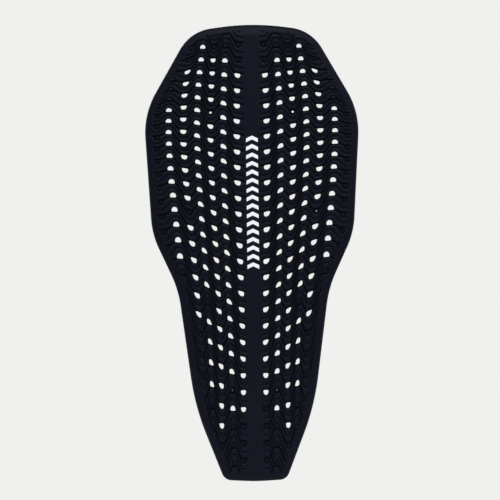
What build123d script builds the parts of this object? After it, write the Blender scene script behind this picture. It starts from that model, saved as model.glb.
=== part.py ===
"""Back protector insert for a riding jacket: one sheet of moulded elastic foam, cut here into bands that flex.

The insert stands as worn. +Z runs up the spine, the ribbed outer face looks along -Y, and the flat body side
lies on the plane Y = 0. The origin is the middle of the body side. Every sketch lies in XZ, drawn as seen from
outside, and is extruded outwards. "Left" is -X, the wearer's left.

The real sheet bends everywhere. Here it is divided into level bands, and each pair of neighbours meets in a
living hinge. Every band holds a back layer, a left and a right rib panel, and a smooth spine strip between them.
"""

from build123d import *
import os

# Whole pad
LENGTH = 480.0
BACK_THICK = 4.0  # soft back layer against the body
BASE_THICK = 7.0  # solid part of the rib panels
RIB_HEIGHT = 3.5  # raised waves on top of it
RIM_WIDTH = 9.0  # smooth border without waves
STRIP_HALF = 7.5  # half width of the smooth spine strip

# Right half of the outline, from the middle of the top edge to the middle of the bottom edge: (x, z, radius)
OUTLINE = [
    (0.0, 242.4, 250.0),  # gently crowned top edge
    (63.8, 234.1, 44.0),  # shoulder corner
    (113.7, 147.4, 85.0),  # widest corner, under the shoulder blade
    (106.2, 20.7, 88.0),  # side turns in
    (79.3, -37.7, 118.0),  # waist
    (63.0, -161.1, 260.0),  # above the tail
    (32.7, -238.8, 11.0),  # tail corner
    (0.0, -240.6, 200.0),  # bottom edge
]

# Bands and the living hinges between them
BAND_COUNT = 9
BAND_HEIGHT = LENGTH / BAND_COUNT
HINGE_GAP = 1.6

# Perforation. Columns 1 to 7 run from the spine outwards; odd ones lie in a wave's trough, even ones on its
# crest. Each is laid out by where it stands at four of its rows, counted downwards.
STATION_ROWS = (0, 7, 14, 21)
COLUMN_X = {
    1: (14.5, 15.5, 13.0, 12.0),
    2: (27.5, 30.0, 27.0, 23.5),
    3: (41.0, 43.0, 38.0, 35.0),
    4: (52.5, 57.5, 51.5, 45.0),
    5: (67.0, 71.5, 62.5, 54.0),
    6: (81.0, 87.5, 79.0, 66.0),
    7: (93.0, 100.5, 92.0, 79.0),
}
COLUMN_Z = {
    1: (187.5, 74.3, -42.3, -164.5),
    2: (203.0, 97.0, -16.5, -144.4),
    3: (190.0, 89.9, -24.3, -160.4),
    4: (204.3, 110.4, 2.9, -138.0),
    5: (191.6, 102.1, -6.6, -153.5),
    6: (193.0, 116.0, 14.5, -122.0),
    7: (183.0, 110.0, 6.0, -132.0),
}
LAST_COLUMN = 7
FIRST_ROW = -4
LAST_ROW = 26
# First and last row whose hole goes right through; the rest are blind
OPEN_ROWS = {1: (0, 21), 2: (0, 22), 3: (-1, 22), 4: (-1, 21), 5: (0, 17), 6: (4, 15)}
# Holes among them that were skinned over in moulding, as (column, row), on the left (-1) and the right (1)
SKINNED_OVER = {
    -1: [(2, 21), (3, 3), (4, 17), (5, 11)],
    1: [(1, 21), (2, 21), (3, 3), (4, 17), (5, 11)],
}
HOLE_WIDTH_SHARE = 0.44  # of the mean distance to the columns beside it
HOLE_HEIGHT = 1.9
HOLE_HEIGHT_SHARE = 0.2  # of the distance to the next row, added to HOLE_HEIGHT
FLAT_SHARE = 0.42  # of a hole's height, from its middle to its flat side
# Share of the rows' slope that the flat side of each column's holes follows
LEAN = {1: 0.33, 2: 0.6, 3: 0.55, 4: 0.6, 5: 0.8, 6: 0.15, 7: 0.6}
LAST_LEANING_ROW = 18  # below it the first column's holes are level
GROOVE_WIDTH = 1.8
HOLE_REACH = 6.0  # furthest that a hole spreads above or below its middle
GROOVE_REACH = 60.0  # furthest that a groove wanders above or below its place in column 3

# Printed mark on the spine strip: a column of plain chevrons pointing up
CHEVRON_WIDTH = 12.4
CHEVRON_RISE = 3.0
CHEVRON_STROKE = 4.1
CHEVRON_PITCH = BAND_HEIGHT / 6
PRINT_THICK = 0.3
CHEVRONS = {3: range(1, 6), 4: range(6), 5: range(5)}  # band: its places from the top that hold a chevron

OUTER_FACE = BACK_THICK + BASE_THICK + RIB_HEIGHT


def along(stations, row):
    """The cubic through four station values, carried on straight above the first row and below the last."""
    first, last = STATION_ROWS[0], STATION_ROWS[-1]
    if row < first:
        return stations[0] + (row - first) * (along(stations, first + 1) - stations[0])
    if row > last:
        return stations[-1] + (row - last) * (stations[-1] - along(stations, last - 1))
    total = 0.0
    for here, value in zip(STATION_ROWS, stations):
        for other in STATION_ROWS:
            if other != here:
                value *= (row - other) / (here - other)
        total += value
    return total


def is_crest(column):
    return column % 2 == 0


def hole_height(column, row):
    pitch = along(COLUMN_Z[column], row) - along(COLUMN_Z[column], row + 1)
    return HOLE_HEIGHT + HOLE_HEIGHT_SHARE * pitch


def flat_side(column, row):
    """Middle of the hole's flat side, which a groove follows: (x, z)."""
    drop = FLAT_SHARE * hole_height(column, row)
    return (
        along(COLUMN_X[column], row),
        along(COLUMN_Z[column], row) + (-drop if is_crest(column) else drop),
    )


def half_width(column, row):
    """Half the width of a hole, from the columns on both sides of it, or from one where it is the last."""
    inner = along(COLUMN_X[column - 1], row) if column > 1 else 0.0
    if column == LAST_COLUMN:
        return HOLE_WIDTH_SHARE * (along(COLUMN_X[column], row) - inner) / 2
    return HOLE_WIDTH_SHARE * (along(COLUMN_X[column + 1], row) - inner) / 4


def lean(column, row):
    return 0.0 if column == 1 and row > LAST_LEANING_ROW else LEAN[column]


def groove_row(row):
    """The wave that one groove draws from the spine strip outwards: (x, z, slope) at its start and each column."""
    nodes = [flat_side(column, row) for column in COLUMN_X]
    slopes = []
    for index, (x, z) in enumerate(nodes):
        before = nodes[index - 1] if index else (0.0, z)
        after = nodes[index + 1] if index + 1 < len(nodes) else (x, z)
        slopes.append(lean(index + 1, row) * (after[1] - before[1]) / (after[0] - before[0]))
    start = (STRIP_HALF - 1.0, nodes[0][1] - slopes[0] * (nodes[0][0] - STRIP_HALF + 1.0), 0.0)
    return [start] + [(x, z, slope) for (x, z), slope in zip(nodes, slopes)]


def is_open(side, column, row):
    first, last = OPEN_ROWS.get(column, (0, -1))
    return first <= row <= last and (column, row) not in SKINNED_OVER[side]


def pad_outline():
    """The whole outline as a face, added to the sketch."""
    right = OUTLINE
    left = [(-x, z, radius) for x, z, radius in reversed(OUTLINE[1:-1])]
    corners = right + left
    with BuildLine() as edge:
        FilletPolyline(
            *[(x, z) for x, z, _ in corners], radius=[radius for _, _, radius in corners], close=True
        )
    make_face(edge.edges())


def keep_window(band, x_low, x_high):
    """Cuts the sketch down to one band, clear of its hinge gaps, between two X values."""
    z_high = LENGTH / 2 - (band - 1) * BAND_HEIGHT
    z_low = z_high - BAND_HEIGHT
    if band > 1:
        z_high -= HINGE_GAP / 2
    if band < BAND_COUNT:
        z_low += HINGE_GAP / 2
    with Locations(((x_low + x_high) / 2, (z_low + z_high) / 2)):
        Rectangle(x_high - x_low, z_high - z_low, mode=Mode.INTERSECT)


def cut_hole(side, column, row):
    """One D-shaped hole, its flat side leaning with the row."""
    x, z, slope = groove_row(row)[column]
    half = half_width(column, row)
    height = hole_height(column, row) * (1 if is_crest(column) else -1)
    start = (side * (x - half), z - slope * half)
    end = (side * (x + half), z + slope * half)
    with BuildLine() as edge:
        ThreePointArc(start, (side * x, z + height), end)
        Line(end, start)
    make_face(edge.edges(), mode=Mode.SUBTRACT)


def cut_groove(side, row):
    """One wavy groove, from the spine strip to past the rim."""
    nodes = groove_row(row)
    tangents = [(side, slope) for _, _, slope in nodes]
    upper = [(side * x, z + GROOVE_WIDTH / 2) for x, z, _ in nodes]
    lower = [(side * x, z - GROOVE_WIDTH / 2) for x, z, _ in nodes]
    with BuildLine() as edge:
        Spline(*upper, tangents=tangents)
        Spline(*lower, tangents=tangents)
        Line(upper[0], lower[0])
        Line(upper[-1], lower[-1])
    make_face(edge.edges(), mode=Mode.SUBTRACT)


def rows_in(band, column, reach):
    """Rows of one column whose middle lies within reach of the band."""
    top = LENGTH / 2 - (band - 1) * BAND_HEIGHT
    rows = range(FIRST_ROW, LAST_ROW + 1)
    return [r for r in rows if top - BAND_HEIGHT - reach < along(COLUMN_Z[column], r) < top + reach]


def cut_open_holes(band, side):
    for column in OPEN_ROWS:
        for row in rows_in(band, column, HOLE_REACH):
            if is_open(side, column, row):
                cut_hole(side, column, row)


def cut_all_holes(band, side):
    for column in COLUMN_X:
        for row in rows_in(band, column, HOLE_REACH):
            cut_hole(side, column, row)


def cut_grooves(band, side):
    for row in rows_in(band, 3, GROOVE_REACH):
        cut_groove(side, row)


def rib_panel(band, side):
    """Left or right rib panel of one band: a solid base under raised waves, perforated."""
    outer = OUTLINE[2][0]
    x_low, x_high = sorted((side * STRIP_HALF, side * outer))
    with BuildPart() as panel:
        with BuildSketch(Plane.XZ.offset(BACK_THICK)):
            pad_outline()
            keep_window(band, x_low, x_high)
            cut_open_holes(band, side)
        extrude(amount=BASE_THICK)
        with BuildSketch(Plane.XZ.offset(BACK_THICK + BASE_THICK)):
            pad_outline()
            offset(amount=-RIM_WIDTH)
            keep_window(band, x_low, x_high)
            cut_all_holes(band, side)
            cut_grooves(band, side)
        extrude(amount=RIB_HEIGHT)
    return panel.part


def spine_strip(band):
    """Smooth strip up the middle of one band, level with the tops of the waves."""
    with BuildPart() as strip:
        with BuildSketch(Plane.XZ.offset(BACK_THICK)):
            pad_outline()
            keep_window(band, -STRIP_HALF, STRIP_HALF)
        extrude(amount=BASE_THICK + RIB_HEIGHT)
    return strip.part


def back_layer(band):
    """Soft layer on the body side of one band, with the same through holes."""
    outer = OUTLINE[2][0]
    with BuildPart() as layer:
        with BuildSketch(Plane.XZ):
            pad_outline()
            keep_window(band, -outer, outer)
            for side in (-1, 1):
                cut_open_holes(band, side)
        extrude(amount=BACK_THICK)
    return layer.part


def printed_mark(band):
    """The chevrons printed on one band's spine strip."""
    top = LENGTH / 2 - (band - 1) * BAND_HEIGHT
    half = CHEVRON_WIDTH / 2
    with BuildPart() as mark:
        with BuildSketch(Plane.XZ.offset(OUTER_FACE)):
            for place in CHEVRONS[band]:
                middle = top - (place + 0.5) * CHEVRON_PITCH
                apex = middle + (CHEVRON_RISE + CHEVRON_STROKE) / 2
                with BuildLine() as edge:
                    Polyline(
                        (-half, apex - CHEVRON_RISE),
                        (0, apex),
                        (half, apex - CHEVRON_RISE),
                        (half, apex - CHEVRON_RISE - CHEVRON_STROKE),
                        (0, apex - CHEVRON_STROKE),
                        (-half, apex - CHEVRON_RISE - CHEVRON_STROKE),
                        close=True,
                    )
                make_face(edge.edges())
        extrude(amount=PRINT_THICK)
    return mark.part


def write(part, label):
    part.label = label
    export_step(part, f"parts/{label}.step")


os.makedirs("parts", exist_ok=True)
for band in range(1, BAND_COUNT + 1):
    write(rib_panel(band, -1), f"rib_panel_left_{band}")
    write(rib_panel(band, 1), f"rib_panel_right_{band}")
    write(spine_strip(band), f"spine_strip_{band}")
    write(back_layer(band), f"back_layer_{band}")
    if band in CHEVRONS:
        write(printed_mark(band), f"printed_mark_{band}")
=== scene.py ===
"""Looks of the back protector insert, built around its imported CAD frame.

The insert is one sheet of foam. Its surfaces are height fields over a flat pattern of outline, ventilation
holes and wavy grooves. They are worked out in millimetres for each half, as a right half, and turned over for
the left. The sheet is then parted into closed pieces, one set for each living hinge, which meet in the middle
of the bands, where nothing bends.
"""

import math

import bmesh
import bpy
import numpy as np
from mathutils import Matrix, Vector
from mathutils.geometry import delaunay_2d_cdt
from mathutils.kdtree import KDTree


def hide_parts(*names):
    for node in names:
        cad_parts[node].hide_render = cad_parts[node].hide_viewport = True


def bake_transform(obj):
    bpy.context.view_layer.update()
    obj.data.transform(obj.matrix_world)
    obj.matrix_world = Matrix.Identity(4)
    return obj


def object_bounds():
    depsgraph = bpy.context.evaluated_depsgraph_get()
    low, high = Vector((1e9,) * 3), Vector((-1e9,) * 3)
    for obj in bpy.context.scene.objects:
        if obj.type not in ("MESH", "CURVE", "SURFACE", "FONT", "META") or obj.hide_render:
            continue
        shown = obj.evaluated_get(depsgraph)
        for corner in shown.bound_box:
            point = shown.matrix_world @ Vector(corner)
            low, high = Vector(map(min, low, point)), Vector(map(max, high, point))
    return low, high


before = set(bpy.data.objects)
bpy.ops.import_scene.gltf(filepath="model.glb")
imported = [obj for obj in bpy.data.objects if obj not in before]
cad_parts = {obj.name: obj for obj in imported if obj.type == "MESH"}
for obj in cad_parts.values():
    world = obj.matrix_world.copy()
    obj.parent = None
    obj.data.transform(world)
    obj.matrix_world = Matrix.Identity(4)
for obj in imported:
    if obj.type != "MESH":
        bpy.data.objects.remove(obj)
CAD_LOW, CAD_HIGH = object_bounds()
MM = 0.001

# Outline, bands and perforation, in millimetres, as in the CAD source
LENGTH = 480.0
STRIP_HALF = 7.5
OUTLINE = [
    (0.0, 242.4, 250.0),
    (63.8, 234.1, 44.0),
    (113.7, 147.4, 85.0),
    (106.2, 20.7, 88.0),
    (79.3, -37.7, 118.0),
    (63.0, -161.1, 260.0),
    (32.7, -238.8, 11.0),
    (0.0, -240.6, 200.0),
]
BAND_COUNT = 9
BAND_HEIGHT = LENGTH / BAND_COUNT
STATION_ROWS = (0, 7, 14, 21)
COLUMN_X = {
    1: (14.5, 15.5, 13.0, 12.0),
    2: (27.5, 30.0, 27.0, 23.5),
    3: (41.0, 43.0, 38.0, 35.0),
    4: (52.5, 57.5, 51.5, 45.0),
    5: (67.0, 71.5, 62.5, 54.0),
    6: (81.0, 87.5, 79.0, 66.0),
    7: (93.0, 100.5, 92.0, 79.0),
}
COLUMN_Z = {
    1: (187.5, 74.3, -42.3, -164.5),
    2: (203.0, 97.0, -16.5, -144.4),
    3: (190.0, 89.9, -24.3, -160.4),
    4: (204.3, 110.4, 2.9, -138.0),
    5: (191.6, 102.1, -6.6, -153.5),
    6: (193.0, 116.0, 14.5, -122.0),
    7: (183.0, 110.0, 6.0, -132.0),
}
LAST_COLUMN = 7
FIRST_ROW = -4
LAST_ROW = 26
OPEN_ROWS = {1: (0, 21), 2: (0, 22), 3: (-1, 22), 4: (-1, 21), 5: (0, 17), 6: (4, 15)}
SKINNED_OVER = {
    -1: [(2, 21), (3, 3), (4, 17), (5, 11)],
    1: [(1, 21), (2, 21), (3, 3), (4, 17), (5, 11)],
}
# Radius of the pinhole left in some of them, on the left (-1) and the right (1)
PINHOLES = {-1: {(2, 21): 0.45, (3, 3): 1.35}, 1: {(2, 21): 0.5, (3, 3): 1.3, (5, 11): 0.6}}
HOLE_WIDTH_SHARE = 0.44
HOLE_HEIGHT = 1.9
HOLE_HEIGHT_SHARE = 0.2
FLAT_SHARE = 0.42
DOME_POWER = 2.2  # a hole's dome is nearly half an ellipse
BASE_POWER = 4.0  # and its flat side squarer, with rounded ends
BASE_SHARE = 0.24  # share of a hole's height that its rounded ends take
LEAN = {1: 0.33, 2: 0.6, 3: 0.55, 4: 0.6, 5: 0.8, 6: 0.15, 7: 0.6}
LAST_LEANING_ROW = 18  # below it the first column's holes are level
HOLE_SHEAR = 0.5  # share of the rows' slope that a hole's dome leans sideways by
SHORTER_STRAIGHT = 0.5  # straight stretch of a groove between two rows, against one that holes lie on
CHEVRON_WIDTH = 12.4
CHEVRON_RISE = 3.0
CHEVRON_STROKE = 4.1
CHEVRONS_PER_BAND = 6
CHEVRON_PITCH = BAND_HEIGHT / CHEVRONS_PER_BAND
CHEVRONS = {3: range(1, 6), 4: range(6), 5: range(5)}
CHEVRON_POINTS = 25  # across it
CHEVRON_ROWS = (0.0, 0.06, 0.5, 0.94, 1.0)  # rows of points down its stroke, as shares of it

# Heights above the body side, and the mouldings' roundings
LAYER_JOINT = 4.0  # where the rib layer lies on the back layer
RIM_HEIGHT = 11.8
FIELD_HEIGHT = 14.5
RIM_WIDTH = 12.0  # distance from the outline over which the sheet rises to its full height
WAVE_START = 5.0  # distance from the outline where the grooves begin
WAVE_FULL = 9.5  # and where they are full
WAVE_BESIDE_STRIP = (0.2, 2.2)  # the same two distances, from the side of the strip
WAVE_UNDER_STRIP = 1.0  # how far a groove's line is drawn under the strip
WAVE_PAST_LAST = 25.0  # and past its last node, over the rim
EDGE_RADIUS = 3.0
GROOVE_RADIUS = 2.3
GROOVE_FLOOR = 0.15  # half width of a groove's floor
SHALLOW = 0.7  # depth of a groove between two rows of holes, against one that holes lie on
HOLE_RADIUS = 0.9
RECESS_DEPTH = 1.5  # of the line pressed round a blind hole
RECESS_FLOOR = 0.45  # and of the foam inside it
RECESS_LINE = (0.15, 0.95)  # half width of that line's floor, and of the whole line
BACK_RADIUS = 1.2
BACK_HOLE_RADIUS = 0.5
JOINT_RADIUS = 0.35
PRINT_THICK = 0.2

# Mesh spacings
EDGE_STEP = 1.3
SEAM_STEP = 0.6
STRIP_STEP = 1.0
FINE_STEP = 0.25  # of the lines that distances are measured to
GROOVE_STEP = 0.95
GROOVE_RINGS = (0.0, 0.25, 0.7, 1.4)  # distances of the rows of points beside a groove
RING_CLEARANCE = 0.93  # share of such a distance that the points keep from every other groove
ARC_POINTS = 60  # round one corner of the outline, before its points are spaced evenly
CURVE_POINTS = 40  # along one stretch of a wave, likewise
HOLE_POINTS = 20
PINHOLE_POINTS = 12
EDGE_RINGS = (0.3, 0.9, 1.8, 3.0)
HOLE_RINGS = (0.35, 0.95)
RECESS_RING = 0.4
BACK_EDGE_RINGS = (0.35, 1.2)
BACK_HOLE_RING = 0.5
LINE_GAP = 0.25  # least distance of such points from a fixed line
POINT_GAP = 0.27  # and from each other
GRID_STEP = 1.5
GRID_LINE_GAP = 0.6
GRID_POINT_GAP = 0.75
BACK_GRID_STEP = 3.6
BACK_GRID_LINE_GAP = 1.0
BACK_GRID_POINT_GAP = 1.2
GRID_WIDTH = 116.0  # a little more than half the sheet's width
SAME_PLACE = 1e-4  # points nearer than this are one
ON_MIDDLE = 1e-6  # how near the middle line a point counts as on it
SLIVER = 1e-7  # twice the area of a triangle that is left out


# ---- the flat pattern ----

def along(stations, row):
    """The cubic through four station values, carried on straight above the first row and below the last."""
    first, last = STATION_ROWS[0], STATION_ROWS[-1]
    if row < first:
        return stations[0] + (row - first) * (along(stations, first + 1) - stations[0])
    if row > last:
        return stations[-1] + (row - last) * (stations[-1] - along(stations, last - 1))
    total = 0.0
    for here, value in zip(STATION_ROWS, stations):
        for other in STATION_ROWS:
            if other != here:
                value *= (row - other) / (here - other)
        total += value
    return total


def is_crest(column):
    """Whether a column's holes have their domes upwards, on the crests of the waves."""
    return column % 2 == 0


def hole_height(column, row):
    """The height of a hole, which grows with the distance to the next one below."""
    pitch = along(COLUMN_Z[column], row) - along(COLUMN_Z[column], row + 1)
    return HOLE_HEIGHT + HOLE_HEIGHT_SHARE * pitch


def flat_side(column, row):
    """The middle of a hole's flat side."""
    drop = FLAT_SHARE * hole_height(column, row)
    z = along(COLUMN_Z[column], row)
    return along(COLUMN_X[column], row), z - drop if is_crest(column) else z + drop


def half_width(column, row):
    """Half the width of one column's holes."""
    inner = along(COLUMN_X[column - 1], row) if column > 1 else 0.0
    if column == LAST_COLUMN:
        return HOLE_WIDTH_SHARE * (along(COLUMN_X[column], row) - inner) / 2
    return HOLE_WIDTH_SHARE * (along(COLUMN_X[column + 1], row) - inner) / 4


def lean(column, row):
    """The share of the waves' slope that a hole's flat side follows."""
    return 0.0 if column == 1 and row > LAST_LEANING_ROW else LEAN[column]


def hole_row(row):
    """(x, z, slope, half width) of the holes' flat sides in one row, column by column."""
    flats = [flat_side(column, row) for column in COLUMN_X]
    found = []
    for index, (x, z) in enumerate(flats):
        before = flats[index - 1] if index else (0.0, z)
        after = flats[index + 1] if index + 1 < len(flats) else (x, z)
        slope = lean(index + 1, row) * (after[1] - before[1]) / (after[0] - before[0])
        found.append((x, z, slope, half_width(index + 1, row)))
    return found


def between_rows(row):
    """The same for the middle of the foam between one row of holes and the next below it."""
    found = []
    for column, above, below in zip(COLUMN_X, hole_row(row), hole_row(row + 1)):
        z_above = above[1] - (0.0 if is_crest(column) else hole_height(column, row))
        z_below = below[1] + (hole_height(column, row + 1) if is_crest(column) else 0.0)
        x, _, slope, half = (np.array(above) + below) / 2
        found.append((x, (z_above + z_below) / 2, slope, SHORTER_STRAIGHT * half))
    return found


def resampled(points, step):
    """The same line with evenly spaced points, about step apart, and its two ends kept."""
    lengths = np.linalg.norm(np.diff(points, axis=0), axis=1)
    run = np.concatenate([[0.0], np.cumsum(lengths)])
    at = np.linspace(0.0, run[-1], max(2, round(run[-1] / step) + 1))
    return np.stack([np.interp(at, run, points[:, k]) for k in range(2)], axis=1)


def rounded_corner(before, corner, after, radius):
    """Points along the arc that rounds one corner."""
    corner = np.array(corner)
    into = corner - before
    out = after - corner
    into /= np.linalg.norm(into)
    out /= np.linalg.norm(out)
    turn = math.atan2(into[0] * out[1] - into[1] * out[0], into @ out)
    reach = radius * math.tan(abs(turn) / 2)
    start = corner - into * reach
    normal = np.array([-into[1], into[0]]) * math.copysign(1, turn)
    centre = start + normal * radius
    angles = np.linspace(0.0, turn, ARC_POINTS)
    spoke = start - centre
    return [
        centre + np.array([c * spoke[0] - s * spoke[1], s * spoke[0] + c * spoke[1]])
        for c, s in zip(np.cos(angles), np.sin(angles))
    ]


def half_outline():
    """Right half of the outline, from the middle of the top edge down to the middle of the bottom edge."""
    corners = [np.array(c[:2]) for c in OUTLINE]
    mirror = np.array([-1.0, 1.0])
    corners = [corners[1] * mirror] + corners + [corners[-2] * mirror]
    points = []
    for before, corner, after, (_, _, radius) in zip(corners, corners[1:], corners[2:], OUTLINE):
        points += rounded_corner(before, corner, after, radius)
    points = np.array([p for p in points if p[0] > ON_MIDDLE])
    ends = [[0.0, points[0][1]], [0.0, points[-1][1]]]
    ends[0][1] += points[0][0] ** 2 / (2 * OUTLINE[0][2])
    ends[1][1] -= points[-1][0] ** 2 / (2 * OUTLINE[-1][2])
    return np.vstack([ends[:1], points, ends[1:]])


def hole_shape(column, row):
    """The closed edge of one D-shaped hole: a dome that leans with its row, over a flat side."""
    x, z, slope, half = hole_row(row)[column - 1]
    height = hole_height(column, row)
    way = 1 if is_crest(column) else -1
    angle = np.arange(HOLE_POINTS) * 2 * math.pi / HOLE_POINTS
    across, up = np.cos(angle), np.sin(angle)
    dome = up > 0
    power = np.where(dome, DOME_POWER, BASE_POWER)
    reach = (np.abs(across) ** power + np.abs(up) ** power) ** (-1 / power)
    across, up = across * reach, up * reach
    up = way * height * (np.where(dome, (1 - BASE_SHARE) * up, BASE_SHARE * up) + BASE_SHARE)
    shear = HOLE_SHEAR * slope * (up - way * FLAT_SHARE * height)
    return np.stack([x + half * across + shear, z + up + slope * half * across], axis=1)


def pinhole(column, row, radius):
    """The closed edge of the small hole left where a ventilation hole is nearly skinned over."""
    middle = hole_shape(column, row).mean(axis=0)
    angle = np.arange(PINHOLE_POINTS) * 2 * math.pi / PINHOLE_POINTS
    return middle + radius * np.stack([np.cos(angle), np.sin(angle)], axis=1)


def wave_line(nodes, step):
    """The wave that one groove draws: straight past each node, smooth between nodes, and on past the rim."""
    x, z, slope, _ = nodes[0]
    start = STRIP_HALF - WAVE_UNDER_STRIP
    ends = [(start, z - slope * (x - start), 0.0)]
    for x, z, slope, half in nodes:
        ends += [(x - half, z - slope * half, slope), (x + half, z + slope * half, slope)]
    x, z, slope = ends[-1]
    ends.append((x + WAVE_PAST_LAST, z + WAVE_PAST_LAST * slope, slope))
    points = []
    for (x0, z0, s0), (x1, z1, s1) in zip(ends, ends[1:]):
        width = x1 - x0
        t = np.linspace(0.0, 1.0, CURVE_POINTS, endpoint=False)
        z_here = (
            (2 * t**3 - 3 * t**2 + 1) * z0
            + (t**3 - 2 * t**2 + t) * width * s0
            + (3 * t**2 - 2 * t**3) * z1
            + (t**3 - t**2) * width * s1
        )
        points.append(np.stack([x0 + width * t, z_here], axis=1))
    return resampled(np.vstack(points), step)


def is_open(side, column, row):
    """Whether a hole goes right through on one side of the sheet; the others are blind."""
    first, last = OPEN_ROWS.get(column, (0, -1))
    return first <= row <= last and (column, row) not in SKINNED_OVER[side]


def inside(points, polygon):
    """Which points lie inside a closed polygon."""
    x, z = points[:, 0], points[:, 1]
    found = np.zeros(len(points), bool)
    for (x0, z0), (x1, z1) in zip(polygon, np.roll(polygon, -1, axis=0)):
        if z0 == z1:
            continue
        crosses = (z0 > z) != (z1 > z)
        found ^= crosses & (x < x0 + (z - z0) * (x1 - x0) / (z1 - z0))
    return found


def inside_any(points, polygons):
    """Which points lie inside at least one of several closed polygons."""
    found = np.zeros(len(points), bool)
    for polygon in polygons:
        low, high = polygon.min(axis=0), polygon.max(axis=0)
        near = np.where(((points >= low) & (points <= high)).all(axis=1))[0]
        found[near] |= inside(points[near], polygon)
    return found


def distance_to(points, line_points):
    """How far each point is from the nearest of the line's points."""
    tree = KDTree(len(line_points))
    for index, (x, z) in enumerate(line_points):
        tree.insert((x, z, 0.0), index)
    tree.balance()
    return np.array([tree.find((x, z, 0.0))[2] for x, z in points])


def closed(polygon):
    """A closed polygon's points with the first one repeated at the end."""
    return np.vstack([polygon, polygon[:1]])


def offset_line(points, distance):
    """Points moved sideways off a line by a distance."""
    direction = np.gradient(points, axis=0)
    direction /= np.linalg.norm(direction, axis=1)[:, None]
    return points + distance * np.stack([-direction[:, 1], direction[:, 0]], axis=1)


def ring_round(polygon, distance):
    """A hole's edge points moved away from its middle by a distance, or towards it if that is negative."""
    spoke = polygon - polygon.mean(axis=0)
    return polygon + spoke / np.linalg.norm(spoke, axis=1)[:, None] * distance


def grid_points(step):
    """A triangular grid over the right half."""
    rows = np.arange(-LENGTH / 2, LENGTH / 2, step * math.sqrt(3) / 2)
    columns = np.arange(step / 2, GRID_WIDTH, step)
    return np.vstack(
        [
            np.stack([columns + (step / 2 if i % 2 else 0.0), np.full(len(columns), z)], axis=1)
            for i, z in enumerate(rows)
        ]
    )


edge = resampled(half_outline(), EDGE_STEP)
edge_polygon = np.vstack([edge, [[-1.0, edge[-1][1]], [-1.0, edge[0][1]]]])  # closed past the middle line
all_rows = range(FIRST_ROW - 1, LAST_ROW + 2)
hole_grooves = [wave_line(hole_row(r), GROOVE_STEP) for r in all_rows]
middle_grooves = [wave_line(between_rows(r), GROOVE_STEP) for r in all_rows]
seams = [LENGTH / 2 - (band - 0.5) * BAND_HEIGHT for band in range(2, BAND_COUNT)]

edge_fine = resampled(edge, FINE_STEP)
hole_grooves_fine = np.vstack([resampled(g, FINE_STEP) for g in hole_grooves])
middle_grooves_fine = np.vstack([resampled(g, FINE_STEP) for g in middle_grooves])


class Holes:
    """The edges of one side's through and blind holes, drawn on the right half."""

    def __init__(self, side):
        places = [(c, r) for c in COLUMN_X for r in range(FIRST_ROW, LAST_ROW + 1)]
        self.open = [hole_shape(c, r) for c, r in places if is_open(side, c, r)]
        self.open += [pinhole(c, r, radius) for (c, r), radius in PINHOLES[side].items()]
        self.blind = [hole_shape(c, r) for c, r in places if not is_open(side, c, r)]
        self.open_fine = np.vstack([resampled(closed(h), FINE_STEP) for h in self.open])
        self.blind_fine = np.vstack([resampled(closed(h), FINE_STEP) for h in self.blind])


# ---- triangles over the flat pattern ----

def fixed_lines():
    """The lines that every surface shares: outline, middle line, side of the strip, and the seams."""
    lines = [edge]
    top, bottom = edge[0][1] + 2, edge[-1][1] - 2
    for x in (0.0, STRIP_HALF):
        lines.append(resampled(np.array([[x, top], [x, bottom]]), STRIP_STEP if x else EDGE_STEP))
    for z in seams:
        lines.append(resampled(np.array([[0.0, z], [GRID_WIDTH, z]]), SEAM_STEP))
    return lines


def triangles(holes, free_points):
    """Delaunay triangles of half the sheet through the fixed lines, the through holes and the free points."""
    points, links = [], []
    for line in fixed_lines():
        start = len(points)
        points += [tuple(p) for p in line]
        links += [(start + k, start + k + 1) for k in range(len(line) - 1)]
    for polygon in holes.open:
        start, count = len(points), len(polygon)
        points += [tuple(p) for p in polygon]
        links += [(start + k, start + (k + 1) % count) for k in range(count)]
    points += [tuple(p) for p in free_points]
    found = delaunay_2d_cdt([Vector(p) for p in points], links, [], 0, SAME_PLACE, False)
    flat = np.array([tuple(v) for v in found[0]])
    faces = np.array([tuple(f) for f in found[2]])
    a, b, c = (flat[faces[:, k]] for k in range(3))
    area = (b[:, 0] - a[:, 0]) * (c[:, 1] - a[:, 1]) - (b[:, 1] - a[:, 1]) * (c[:, 0] - a[:, 0])
    faces[area < 0] = faces[area < 0][:, ::-1]
    middle = (a + b + c) / 3
    keep = (np.abs(area) > SLIVER) & inside(middle, edge_polygon) & (middle[:, 0] > 0)
    keep &= ~inside_any(middle, holes.open)
    return flat, faces[keep]


def clear_of_fixed(holes, points, gap):
    """Which points are inside the sheet and at least gap away from every fixed line and through hole."""
    clear = (points[:, 0] > gap) & (np.abs(points[:, 0] - STRIP_HALF) > gap)
    for z in seams:
        clear &= np.abs(points[:, 1] - z) > gap
    clear &= inside(points, edge_polygon) & ~inside_any(points, holes.open)
    near = np.where(clear)[0]
    far = (distance_to(points[near], edge_fine) > gap) & (distance_to(points[near], holes.open_fine) > gap)
    clear[near] = far
    return clear


def feature_points(holes):
    """Points along the grooves and round the holes, in rings, so that their roundings are crisp."""
    found = []
    for distance in EDGE_RINGS:
        found.append(offset_line(edge, -distance))
    for polygon in holes.open + holes.blind:
        found += [ring_round(polygon, distance) for distance in HOLE_RINGS]
    for polygon in holes.blind:
        found += [polygon, ring_round(polygon, -RECESS_RING)]
    found = [np.vstack(found)]
    grooves_fine = np.vstack([hole_grooves_fine, middle_grooves_fine])
    for ring in GROOVE_RINGS:
        for side in (-1, 1) if ring else (1,):
            points = np.vstack([offset_line(g, side * ring) for g in hole_grooves + middle_grooves])
            if ring:
                points = points[distance_to(points, grooves_fine) > RING_CLEARANCE * ring]
            found.append(points)
    return found


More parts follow.
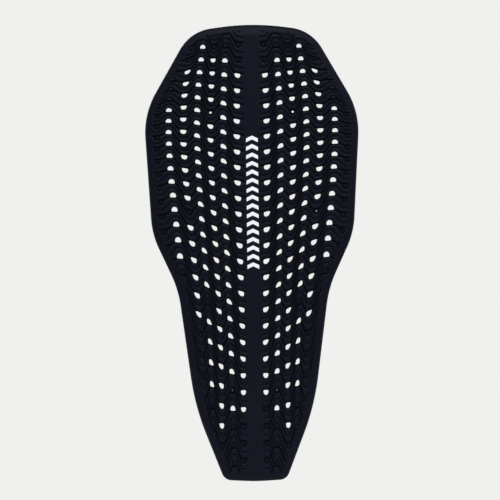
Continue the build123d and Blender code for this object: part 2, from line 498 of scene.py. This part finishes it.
def thinned(groups, gap):
    """The groups' points in turn, leaving out any that comes within gap of one already taken."""
    taken = {}
    kept = []
    for points in groups:
        for x, z in points:
            cell = (int(x // gap), int(z // gap))
            near = [
                p
                for i in (-1, 0, 1)
                for j in (-1, 0, 1)
                for p in taken.get((cell[0] + i, cell[1] + j), ())
            ]
            if all((x - px) ** 2 + (z - pz) ** 2 >= gap * gap for px, pz in near):
                taken.setdefault(cell, []).append((x, z))
                kept.append((x, z))
    return np.array(kept)


def front_points(holes):
    """The free points of the ribbed outer face."""
    groups = [g[clear_of_fixed(holes, g, LINE_GAP)] for g in feature_points(holes)]
    features = thinned(groups, POINT_GAP)
    grid = grid_points(GRID_STEP)
    grid = grid[clear_of_fixed(holes, grid, GRID_LINE_GAP)]
    grid = grid[distance_to(grid, features) > GRID_POINT_GAP]
    return np.vstack([features, grid])


def back_points(holes):
    """The free points of the three smooth surfaces under it."""
    rings = [offset_line(edge, -distance) for distance in BACK_EDGE_RINGS]
    rings += [ring_round(polygon, BACK_HOLE_RING)[::2] for polygon in holes.open]
    rings = np.vstack(rings)
    rings = thinned([rings[clear_of_fixed(holes, rings, LINE_GAP)]], POINT_GAP)
    grid = grid_points(BACK_GRID_STEP)
    grid = grid[clear_of_fixed(holes, grid, BACK_GRID_LINE_GAP)]
    grid = grid[distance_to(grid, rings) > BACK_GRID_POINT_GAP]
    return np.vstack([rings, grid])


# ---- heights ----

def smooth(value, low, high):
    """A smooth rise from 0 at the low value to 1 at the high one."""
    t = np.clip((value - low) / (high - low), 0.0, 1.0)
    return t * t * (3 - 2 * t)


def rounding(distance, radius):
    """How far a quarter-round edge has dropped at a distance from it."""
    d = np.clip(distance, 0.0, radius)
    return radius - np.sqrt(radius**2 - (radius - d) ** 2)


def front_height(holes, flat):
    """Height of the ribbed outer face above the body side, and how deep it lies in a groove, from 0 to 1,
    which sets how much painted shade darkens it there.
    """
    from_edge = distance_to(flat, edge_fine)
    start, full = (STRIP_HALF + distance for distance in WAVE_BESIDE_STRIP)
    waves = smooth(from_edge, WAVE_START, WAVE_FULL) * smooth(flat[:, 0], start, full)
    on_holes = rounding(distance_to(flat, hole_grooves_fine) - GROOVE_FLOOR, GROOVE_RADIUS)
    between = rounding(distance_to(flat, middle_grooves_fine) - GROOVE_FLOOR, GROOVE_RADIUS)
    hole = rounding(distance_to(flat, holes.open_fine), HOLE_RADIUS)
    from_blind = distance_to(flat, holes.blind_fine)
    inner = inside_any(flat, holes.blind)
    recess = np.maximum(RECESS_DEPTH * (1 - smooth(from_blind, *RECESS_LINE)), RECESS_FLOOR * inner)
    drop = ((on_holes**3 + (SHALLOW * between) ** 3 + recess**3) * waves**3 + hole**3) ** (1 / 3)
    base = RIM_HEIGHT + (FIELD_HEIGHT - RIM_HEIGHT) * smooth(from_edge, 0.0, RIM_WIDTH)
    return base - drop - rounding(from_edge, EDGE_RADIUS), np.clip(drop / GROOVE_RADIUS, 0.0, 1.0)


def back_height(holes, flat):
    """Height of the body side itself: nothing but the rounding of its edges."""
    from_edge = distance_to(flat, edge_fine)
    from_hole = distance_to(flat, holes.open_fine)
    return rounding(from_edge, BACK_RADIUS) + rounding(from_hole, BACK_HOLE_RADIUS)


def joint_gap(flat):
    """The fine groove that shows all round the sheet where its two layers meet."""
    return rounding(distance_to(flat, edge_fine), JOINT_RADIUS)


def point_normals(points, faces, flat, flipped):
    """Smooth normals of a height field, which don't lean sideways on the middle line."""
    a, b, c = (points[faces[:, k]] for k in range(3))
    cross = np.cross(b - a, c - a)
    normals = np.zeros_like(points)
    for k in range(3):
        np.add.at(normals, faces[:, k], cross)
    normals[np.abs(flat[:, 0]) < ON_MIDDLE, 0] = 0.0
    normals /= np.maximum(np.linalg.norm(normals, axis=1), 1e-12)[:, None]
    return -normals if flipped else normals


def boundary_edges(faces):
    """The edges, as pairs of points in the triangles' own turning sense, that only one triangle has."""
    edges = np.vstack([faces[:, [0, 1]], faces[:, [1, 2]], faces[:, [2, 0]]]).astype(np.int64)
    size = faces.max() + 1
    forward = edges[:, 0] * size + edges[:, 1]
    backward = edges[:, 1] * size + edges[:, 0]
    return edges[~np.isin(forward, backward)]


def outward_directions(flat, faces):
    """For each point on the outline or on a through hole, the way out of the foam, level with the sheet."""
    edges = boundary_edges(faces)
    on_middle = (np.abs(flat[edges, 0]) < ON_MIDDLE).all(axis=1)
    edges = edges[~on_middle]
    run = flat[edges[:, 1]] - flat[edges[:, 0]]
    run /= np.linalg.norm(run, axis=1)[:, None]
    out = np.zeros_like(flat)
    for k in range(2):
        np.add.at(out, edges[:, k], np.stack([run[:, 1], -run[:, 0]], axis=1))
    out[np.abs(flat[:, 0]) < ON_MIDDLE, 0] = 0.0
    return out / np.maximum(np.linalg.norm(out, axis=1), 1e-12)[:, None]


class Surface:
    """One height field over the left (-1) or right (1) half of the sheet, kept as a right half."""

    def __init__(self, side, flat, faces, height, depth, faces_back=False):
        self.side, self.flat, self.faces, self.depth = side, flat, faces, depth
        self.out = outward_directions(flat, faces)
        self.points = np.stack([flat[:, 0], -height, flat[:, 1]], axis=1)
        self.normals = point_normals(self.points, faces, flat, faces_back)
        at_edge = np.linalg.norm(self.out, axis=1) > 0.5  # its length is 1 there, and 0 inside
        self.normals[at_edge] = np.insert(self.out[at_edge], 1, 0.0, axis=1)
        middle = flat[faces].mean(axis=1)
        self.span = 1 + (np.array(seams)[None, :] > middle[:, 1:]).sum(axis=1)
        self.in_strip = middle[:, 0] < STRIP_HALF

    def patch(self, span, zone):
        """The points, their values and the triangles of one span and zone, on the surface's own side."""
        chosen = self.span == span
        if zone != "all":
            chosen &= self.in_strip == (zone == "strip")
        used, faces = np.unique(self.faces[chosen], return_inverse=True)
        faces = faces.reshape(-1, 3)
        turn = np.array([self.side, 1.0, 1.0])
        return (
            self.flat[used] * turn[:2],
            self.points[used] * turn,
            self.normals[used] * turn,
            self.out[used] * turn[:2],
            self.depth[used],
            faces if self.side > 0 else faces[:, ::-1],
        )


def place_keys(flat):
    """Whole numbers that are the same for points at the same place."""
    return np.round(flat * 1000).astype(np.int64)


def joined_patches(surfaces, span, zone):
    """The patches of one or both sides, joined along the middle line."""
    patches = [surface.patch(span, zone) for surface in surfaces]
    starts = np.cumsum([0] + [len(patch[0]) for patch in patches])
    faces = np.vstack([patch[5] + start for patch, start in zip(patches, starts)])
    flat, points, normals, out, depth = (np.concatenate([p[k] for p in patches]) for k in range(5))
    _, first, joined = np.unique(place_keys(flat), axis=0, return_index=True, return_inverse=True)
    return flat[first], points[first], normals[first], out[first], depth[first], joined.ravel()[faces]


def sheet_piece(name, tops, bottoms, span, zone):
    """A closed piece of the sheet between two surfaces, with walls all round and through its holes."""
    flat, points, normals, out, depth, faces = joined_patches(tops, span, zone)
    low_flat, low_points, low_normals, low_out, low_depth, low_faces = joined_patches(bottoms, span, zone)
    below = {tuple(key): k for k, key in enumerate(place_keys(low_flat))}
    keys = place_keys(flat)
    count = len(points)
    face_list = [tuple(f) for f in faces] + [tuple(f + count) for f in low_faces[:, ::-1]]
    corner_normals = [normals[faces].reshape(-1, 3), low_normals[low_faces[:, ::-1]].reshape(-1, 3)]
    wall_normals = []
    for a, b in boundary_edges(faces):
        c, d = below[tuple(keys[a])], below[tuple(keys[b])]
        face_list.append((b, a, c + count, d + count))
        on_seam = any(abs(flat[a, 1] - z) < SAME_PLACE and abs(flat[b, 1] - z) < SAME_PLACE for z in seams)
        beside_strip = all(abs(abs(flat[k, 0]) - STRIP_HALF) < SAME_PLACE for k in (a, b))
        if on_seam or beside_strip:
            run = flat[b] - flat[a]
            run /= np.linalg.norm(run)
            wall_normals += [(run[1], 0.0, -run[0])] * 4
        else:
            wall_normals += [(out[k][0], 0.0, out[k][1]) for k in (b, a, a, b)]
    corner_normals.append(np.array(wall_normals))
    mesh = bpy.data.meshes.new(name)
    all_points = np.vstack([points, low_points]) * MM
    mesh.from_pydata([tuple(p) for p in all_points], [], face_list, shade_flat=False)
    # how deep each point lies in a groove, kept on the mesh to set the material's painted shade
    mesh.attributes.new("hollow_shade", "FLOAT", "POINT").data.foreach_set(
        "value", np.concatenate([depth, low_depth]).astype(np.float32)
    )
    mesh.normals_split_custom_set([tuple(n) for n in np.vstack(corner_normals)])
    piece = bpy.data.objects.new(name, mesh)
    bpy.context.scene.collection.objects.link(piece)
    return piece


# ---- materials ----

CLOUD_SCALE = 45.0  # features of a noise per metre, as the next two
GRAIN_SCALE = 1300.0
WEAR_SCALE = 260.0
CLOUD_DARK = 0.86  # brightness of the foam's dark clouds, against its plain colour
SPECKLE_LIGHT = 1.25  # and of its light specks


def node_material(name):
    """A new material with its node tree and its main shader."""
    material = bpy.data.materials.new(name)
    material.use_nodes = True
    tree = material.node_tree
    return material, tree, tree.nodes["Principled BSDF"]


def noise(tree, where, scale, detail):
    """A noise over the piece's own coordinates."""
    node = tree.nodes.new("ShaderNodeTexNoise")
    node.inputs["Scale"].default_value = scale
    node.inputs["Detail"].default_value = detail
    tree.links.new(where, node.inputs["Vector"])
    return node.outputs["Fac"]


def mixed(tree, factor, low, high):
    """A colour between two others; each is a colour or another node's output."""
    node = tree.nodes.new("ShaderNodeMix")
    node.data_type = "RGBA"
    tree.links.new(factor, node.inputs["Factor"])
    for socket, colour in ((node.inputs[6], low), (node.inputs[7], high)):  # the two colour sockets
        if isinstance(colour, tuple):
            socket.default_value = (*colour, 1.0)
        else:
            tree.links.new(colour, socket)
    return node.outputs[2]


def ranged(tree, value, low, high, from_low=0.0, from_high=1.0):
    """A value taken from one range to another and kept within it."""
    node = tree.nodes.new("ShaderNodeMapRange")
    node.inputs["From Min"].default_value = from_low
    node.inputs["From Max"].default_value = from_high
    node.inputs["To Min"].default_value = low
    node.inputs["To Max"].default_value = high
    tree.links.new(value, node.inputs["Value"])
    return node.outputs["Result"]


def bumped(tree, height, distance, normal=None):
    """A bump of some depth in metres, on top of another if that is given."""
    node = tree.nodes.new("ShaderNodeBump")
    node.inputs["Strength"].default_value = 1.0
    node.inputs["Distance"].default_value = distance
    tree.links.new(height, node.inputs["Height"])
    if normal is not None:
        tree.links.new(normal, node.inputs["Normal"])
    return node.outputs["Normal"]


def foam_material(name, crown, hollow_shade, roughness, pore_size, pore_depth):
    """Moulded elastic foam: a pebbled skin with painted shade darkening its hollows, cloudy where the skin
    cured unevenly.
    """
    material, tree, shader = node_material(name)
    where = tree.nodes.new("ShaderNodeTexCoord").outputs["Object"]
    depth = tree.nodes.new("ShaderNodeAttribute")
    depth.attribute_name = "hollow_shade"
    cloud = noise(tree, where, CLOUD_SCALE, 4.0)
    grain = noise(tree, where, GRAIN_SCALE, 3.0)
    pores = tree.nodes.new("ShaderNodeTexVoronoi")
    pores.inputs["Scale"].default_value = 1 / pore_size
    tree.links.new(where, pores.inputs["Vector"])
    dark, light = (tuple(share * c for c in crown) for share in (CLOUD_DARK, SPECKLE_LIGHT))
    clouded = mixed(tree, ranged(tree, cloud, 0.0, 1.0, 0.3, 0.7), dark, crown)
    speckled = mixed(tree, ranged(tree, grain, 0.0, 1.0, 0.35, 0.75), clouded, light)
    # painted shade: the deeper the foam lies in a groove, round a hole or in a recess, the nearer its colour
    # comes to the dark second colour
    shaded = mixed(tree, ranged(tree, depth.outputs["Fac"], 0.0, 1.0, 0.1, 0.9), speckled, hollow_shade)
    tree.links.new(shaded, shader.inputs["Base Color"])
    shader.inputs["Specular IOR Level"].default_value = 0.09
    uneven = ranged(tree, cloud, roughness - 0.05, roughness + 0.06, 0.3, 0.7)
    tree.links.new(uneven, shader.inputs["Roughness"])
    normal = bumped(tree, pores.outputs["Distance"], pore_depth)
    normal = bumped(tree, grain, pore_depth / 2, normal)
    tree.links.new(normal, shader.inputs["Normal"])
    return material


def print_material():
    """Screen-printed ink, which lets a little of the foam's grain through."""
    material, tree, shader = node_material("print_ink")
    where = tree.nodes.new("ShaderNodeTexCoord").outputs["Object"]
    grain = noise(tree, where, GRAIN_SCALE, 3.0)
    worn = noise(tree, where, WEAR_SCALE, 5.0)
    inked = mixed(tree, ranged(tree, grain, 0.0, 1.0, 0.3, 0.7), (0.8, 0.8, 0.85), (0.9, 0.9, 0.95))
    thin = mixed(tree, ranged(tree, worn, 0.0, 0.5, 0.62, 0.8), inked, (0.25, 0.26, 0.3))
    tree.links.new(thin, shader.inputs["Base Color"])
    tree.links.new(ranged(tree, grain, 0.45, 0.6, 0.3, 0.7), shader.inputs["Roughness"])
    tree.links.new(bumped(tree, grain, 0.00004), shader.inputs["Normal"])
    return material


# ---- building the insert ----

outer_face, rib_underside, back_layer_top, body_face = [], [], [], []
for side in (-1, 1):
    holes = Holes(side)
    flat, faces = triangles(holes, front_points(holes))
    # the depth in the grooves sets the painted shade of the outer face
    height, hollow_shade = front_height(holes, flat)
    outer_face.append(Surface(side, flat, faces, height, hollow_shade))
    flat, faces = triangles(holes, back_points(holes))
    gap = joint_gap(flat)
    even = np.zeros(len(flat))
    rib_underside.append(Surface(side, flat, faces, LAYER_JOINT + gap, even, faces_back=True))
    back_layer_top.append(Surface(side, flat, faces, LAYER_JOINT - gap, even))
    body_face.append(Surface(side, flat, faces, back_height(holes, flat), even, faces_back=True))

# each foam's darker second colour is painted shade for the grooves, the holes' edges and the recesses; the
# back surfaces have no depth, so it never shows there
rib_foam = foam_material(
    "rib_foam", crown=(0.0024, 0.0034, 0.0092), hollow_shade=(0.0002, 0.0002, 0.0006),
    roughness=0.6, pore_size=0.0007, pore_depth=0.00005,
)
back_foam = foam_material(
    "back_foam", crown=(0.0075, 0.009, 0.015), hollow_shade=(0.0035, 0.0042, 0.0075),
    roughness=0.7, pore_size=0.0011, pore_depth=0.00012,
)
ink = print_material()


def hang(piece, material, replaced):
    """Gives a piece its finish, fixes its placing into its points and hides the CAD solids that it stands
    for.
    """
    piece.data.materials.append(material)
    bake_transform(piece)
    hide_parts(*replaced)


def bands_of(span):
    """The bands whose CAD solids a span's pieces stand for."""
    return [span, span + 1] if span == BAND_COUNT - 1 else [span]


for span in range(1, BAND_COUNT):
    bands = bands_of(span)
    for index, word in enumerate(("left", "right")):
        tops, bottoms = [outer_face[index]], [rib_underside[index]]
        ribs = sheet_piece(f"ribs_{word}_{span}", tops, bottoms, span, "ribs")
        hang(ribs, rib_foam, [f"rib_panel_{word}_{band}" for band in bands])
    spine = sheet_piece(f"spine_{span}", outer_face, rib_underside, span, "strip")
    hang(spine, rib_foam, [f"spine_strip_{band}" for band in bands])
    back = sheet_piece(f"body_side_{span}", back_layer_top, body_face, span, "all")
    hang(back, back_foam, [f"back_layer_{band}" for band in bands])


def chevron(middle):
    """Points and triangles of one printed chevron, a thin lens whose border lies level with the foam."""
    across = np.linspace(-1.0, 1.0, CHEVRON_POINTS)
    down = CHEVRON_ROWS
    half = CHEVRON_WIDTH / 2
    apex = middle + (CHEVRON_RISE + CHEVRON_STROKE) / 2
    points, faces = [], []
    for lift in (PRINT_THICK, -PRINT_THICK):
        for i, u in enumerate(across):
            for j, v in enumerate(down):
                border = i in (0, len(across) - 1) or j in (0, len(down) - 1)
                height_here = FIELD_HEIGHT + (0.0 if border else lift)
                points.append((u * half, -height_here, apex - abs(u) * CHEVRON_RISE - v * CHEVRON_STROKE))
    count, rows = len(across) * len(down), len(down)
    for i in range(len(across) - 1):
        for j in range(rows - 1):
            k = i * rows + j
            cell = [k, k + 1, k + rows + 1, k + rows]
            if (i < len(across) // 2) != (j < rows // 2):  # else two triangles would lie flat at some corners
                cell = cell[1:] + cell[:1]
            for a, b, c in (cell[:3], [cell[0]] + cell[2:]):
                faces.append((a, b, c))
                faces.append((a + count, c + count, b + count))
    return points, faces


def mark_piece(span, middles):
    """One piece of all the chevrons that lie about one hinge."""
    points, faces = [], []
    for middle in middles:
        more_points, more_faces = chevron(middle)
        faces += [tuple(k + len(points) for k in face) for face in more_faces]
        points += more_points
    mesh = bpy.data.meshes.new(f"mark_{span}")
    mesh.from_pydata([tuple(c * MM for c in p) for p in points], [], faces)
    edit = bmesh.new()
    edit.from_mesh(mesh)
    bmesh.ops.remove_doubles(edit, verts=edit.verts, dist=1e-6)
    edit.to_mesh(mesh)
    edit.free()
    piece = bpy.data.objects.new(f"mark_{span}", mesh)
    bpy.context.scene.collection.objects.link(piece)
    return piece


marks = {}
for band, places in CHEVRONS.items():
    for place in places:
        span = band - 1 if place < CHEVRONS_PER_BAND / 2 else band
        middle = LENGTH / 2 - (band - 1) * BAND_HEIGHT - (place + 0.5) * CHEVRON_PITCH
        marks.setdefault(span, []).append(middle)
for span, middles in marks.items():
    bands = [band for band in (span, span + 1) if band in CHEVRONS]
    hang(mark_piece(span, middles), ink, [f"printed_mark_{band}" for band in bands])


# ---- stage, light and camera ----

PALE = (0.871, 0.871, 0.855)
SKY = (0.9, 0.95, 1.0)
SKY_STRENGTH = 0.06
FLOOR_DROP = 0.05  # under the insert, which hangs free as in a shop photograph
FLOOR_RADIUS = 0.6
FLOOR_GLOW = (0.65, 1.0)  # share of the floor's own glow, in its middle and towards its edge
FLOOR_FADE = (0.1, 0.45)  # distances from the middle between which that share grows
CAMERA_DISTANCE = 4.0
SENSOR_WIDTH = 36.0
VIEW_WIDTH = 0.5263  # metres across the picture at the insert
AIM = (-0.0033, 0.0032)  # x and z of the middle of the picture
ROLL = 0.65  # degrees


def pale_world():
    """A pale studio all round, which lights the insert softly and much less than it shows."""
    world = bpy.data.worlds.new("studio")
    bpy.context.scene.world = world
    world.use_nodes = True
    tree = world.node_tree
    shown = tree.nodes["Background"]
    shown.inputs["Color"].default_value = (*PALE, 1.0)
    lighting = tree.nodes.new("ShaderNodeBackground")
    lighting.inputs["Color"].default_value = (*SKY, 1.0)
    lighting.inputs["Strength"].default_value = SKY_STRENGTH
    seen = tree.nodes.new("ShaderNodeLightPath")
    mix = tree.nodes.new("ShaderNodeMixShader")
    tree.links.new(seen.outputs["Is Camera Ray"], mix.inputs["Fac"])
    tree.links.new(lighting.outputs["Background"], mix.inputs[1])
    tree.links.new(shown.outputs["Background"], mix.inputs[2])
    tree.links.new(mix.outputs["Shader"], tree.nodes["World Output"].inputs["Surface"])


def pale_floor():
    """A round floor that takes a soft shadow in its middle and fades into the studio at its edge."""
    bpy.ops.mesh.primitive_circle_add(
        vertices=96, radius=FLOOR_RADIUS, fill_type="NGON", location=(0, 0, CAD_LOW.z - FLOOR_DROP)
    )
    floor = bpy.context.active_object
    floor.name = "floor"
    material, tree, shader = node_material("pale_floor")
    shader.inputs["Base Color"].default_value = (*PALE, 1.0)
    shader.inputs["Roughness"].default_value = 0.9
    glow = tree.nodes.new("ShaderNodeEmission")
    glow.inputs["Color"].default_value = (*PALE, 1.0)
    centre = tree.nodes.new("ShaderNodeTexCoord").outputs["Object"]
    length = tree.nodes.new("ShaderNodeVectorMath")
    length.operation = "LENGTH"
    tree.links.new(centre, length.inputs[0])
    share = ranged(tree, length.outputs["Value"], *FLOOR_GLOW, *FLOOR_FADE)
    seen = tree.nodes.new("ShaderNodeLightPath")
    factor = tree.nodes.new("ShaderNodeMath")
    factor.operation = "MULTIPLY"
    tree.links.new(share, factor.inputs[0])
    tree.links.new(seen.outputs["Is Camera Ray"], factor.inputs[1])
    mix = tree.nodes.new("ShaderNodeMixShader")
    tree.links.new(factor.outputs["Value"], mix.inputs["Fac"])
    tree.links.new(shader.outputs["BSDF"], mix.inputs[1])
    tree.links.new(glow.outputs["Emission"], mix.inputs[2])
    tree.links.new(mix.outputs["Shader"], tree.nodes["Material Output"].inputs["Surface"])
    floor.data.materials.append(material)


def soft_light(name, place, width, height, power):
    """A white soft box that looks at the middle of the insert, in metres and watts."""
    data = bpy.data.lights.new(name, "AREA")
    data.shape = "RECTANGLE"
    data.size, data.size_y = width, height
    data.energy = power
    light = bpy.data.objects.new(name, data)
    light.location = place
    light.rotation_mode = "QUATERNION"
    light.rotation_quaternion = (-Vector(place)).to_track_quat("-Z", "Y")
    bpy.context.scene.collection.objects.link(light)


def front_camera():
    """A camera far in front, level with the insert, rolled a little as the picture is."""
    data = bpy.data.cameras.new("camera")
    data.sensor_width = SENSOR_WIDTH
    data.lens = SENSOR_WIDTH * (CAMERA_DISTANCE - RIM_HEIGHT * MM) / VIEW_WIDTH
    camera = bpy.data.objects.new("camera", data)
    camera.location = (AIM[0], -CAMERA_DISTANCE, AIM[1])
    camera.rotation_euler = (math.radians(90.0), math.radians(ROLL), 0.0)
    bpy.context.scene.collection.objects.link(camera)
    bpy.context.scene.camera = camera


pale_world()
pale_floor()
soft_light("key", (0.2, -2.0, 1.85), 2.0, 1.4, 88.0)
soft_light("back", (-0.9, 1.9, 1.2), 1.2, 1.0, 50.0)
soft_light("right", (1.9, 0.45, 0.4), 0.6, 1.4, 20.0)
soft_light("left", (-1.9, 0.45, 0.2), 0.6, 1.4, 14.0)
front_camera()
bpy.context.scene.view_settings.view_transform = "Standard"
